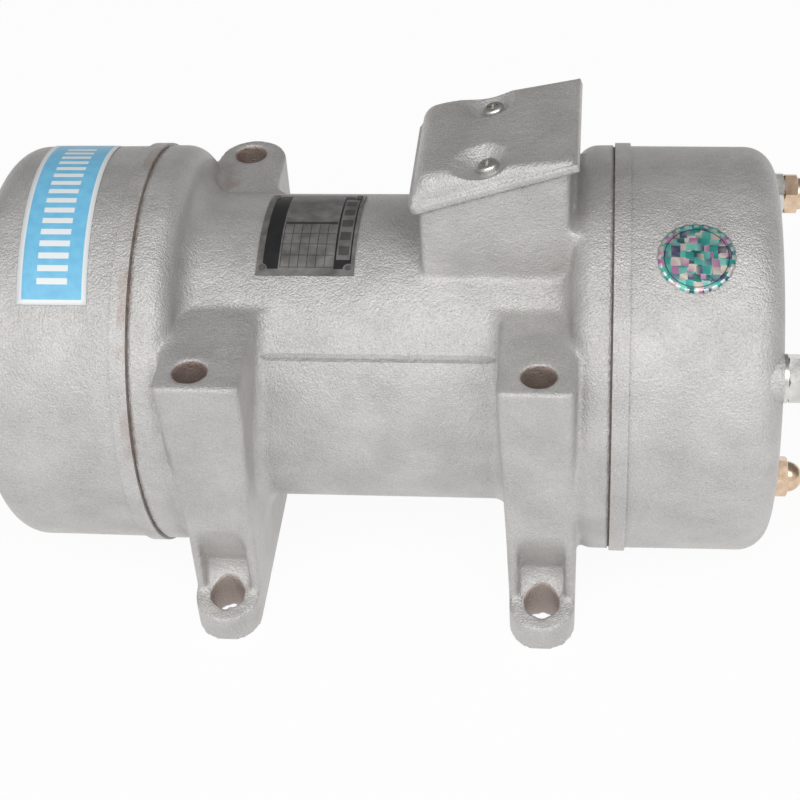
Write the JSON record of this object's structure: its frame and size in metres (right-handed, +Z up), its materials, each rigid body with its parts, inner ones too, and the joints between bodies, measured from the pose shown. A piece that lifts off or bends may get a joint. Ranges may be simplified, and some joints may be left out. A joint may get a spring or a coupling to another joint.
{
  "type": "vibration motor",
  "caption": "Foot-mounted external vibration motor: squirrel-cage motor with half-moon eccentric weights under a round cover at each end of its shaft.",
  "frame": {"origin": "centre of the four foot bolts on the base plane", "axes": "+X along the shaft, towards the terminal box's end; -Y towards the side with the square upper ledges; +Z up"},
  "size_m": [0.3764, 0.1966, 0.2123],
  "materials": {
    "hammer_paint": "silver-grey hammered paint on rough castings",
    "gasket_rubber": "matt black rubber",
    "zinc_steel": "bright zinc-plated steel",
    "brass": "pale brass",
    "bare_iron": "bare grey iron, machined faces",
    "bearing_steel": "polished bearing steel",
    "machined_steel": "turned steel",
    "lamination": "stacked electrical sheet",
    "copper": "varnished copper winding",
    "cast_aluminium": "die-cast aluminium",
    "board_plastic": "dark moulded board",
    "nylon": "black nylon",
    "plate_aluminium": "printed aluminium plate"
  },
  "bodies": {
    "root": {"housing": "hammer_paint", "end_cover_left": "hammer_paint", "end_cover_right": "hammer_paint", "terminal_lid": "hammer_paint", "cover_gasket_left": "gasket_rubber", "cover_gasket_right": "gasket_rubber", "lid_gasket": "gasket_rubber", "shaft_seals": "gasket_rubber", "gland_seal": "gasket_rubber", "cover_studs": "zinc_steel", "stud_washers": "zinc_steel", "stud_nuts": "zinc_steel", "shield_screws": "zinc_steel", "bearing_cover_screws": "zinc_steel", "lid_screws": "zinc_steel", "stud_cap_nuts": "brass", "terminal_studs": "brass", "terminal_lugs": "brass", "terminal_nuts": "brass", "bearing_shield_left": "bare_iron", "bearing_shield_right": "bare_iron", "bearing_covers": "bare_iron", "bearing_outer_rings": "bearing_steel", "stator_core": "lamination", "stator_windings": "copper", "motor_leads": "gasket_rubber", "earth_screw": "zinc_steel", "terminal_board": "board_plastic", "gland_body": "nylon", "gland_nut": "nylon", "rating_plate": "plate_aluminium", "plate_rivets": "plate_aluminium"},
    "rotor": {"shaft": "machined_steel", "rotor_core": "lamination", "rotor_end_rings": "cast_aluminium", "bearing_inner_rings": "bearing_steel", "spacer_sleeves": "machined_steel", "weight_keys": "machined_steel", "inner_weight_left": "bare_iron", "inner_weight_right": "bare_iron", "outer_weight_left": "bare_iron", "outer_weight_right": "bare_iron", "clamp_bolts": "zinc_steel", "clamp_nuts": "zinc_steel", "shaft_end_washers": "zinc_steel", "shaft_end_nuts": "zinc_steel"},
    "ball_sets": {"bearing_balls": "bearing_steel", "bearing_cages": "bearing_steel"}
  },
  "joints": [
    {"name": "rotor_spin", "type": "hinge", "parent": "root", "child": "rotor", "pos_m": [0, 0, 0.092], "axis": [1, 0, 0], "continuous": true},
    {"name": "ball_set_spin", "type": "hinge", "parent": "root", "child": "ball_sets", "pos_m": [0, 0, 0.092], "axis": [1, 0, 0], "continuous": true}
  ],
  "couplings": [
    {"joint": "ball_set_spin", "follows": "rotor_spin", "ratio": 0.3713}
  ]
}
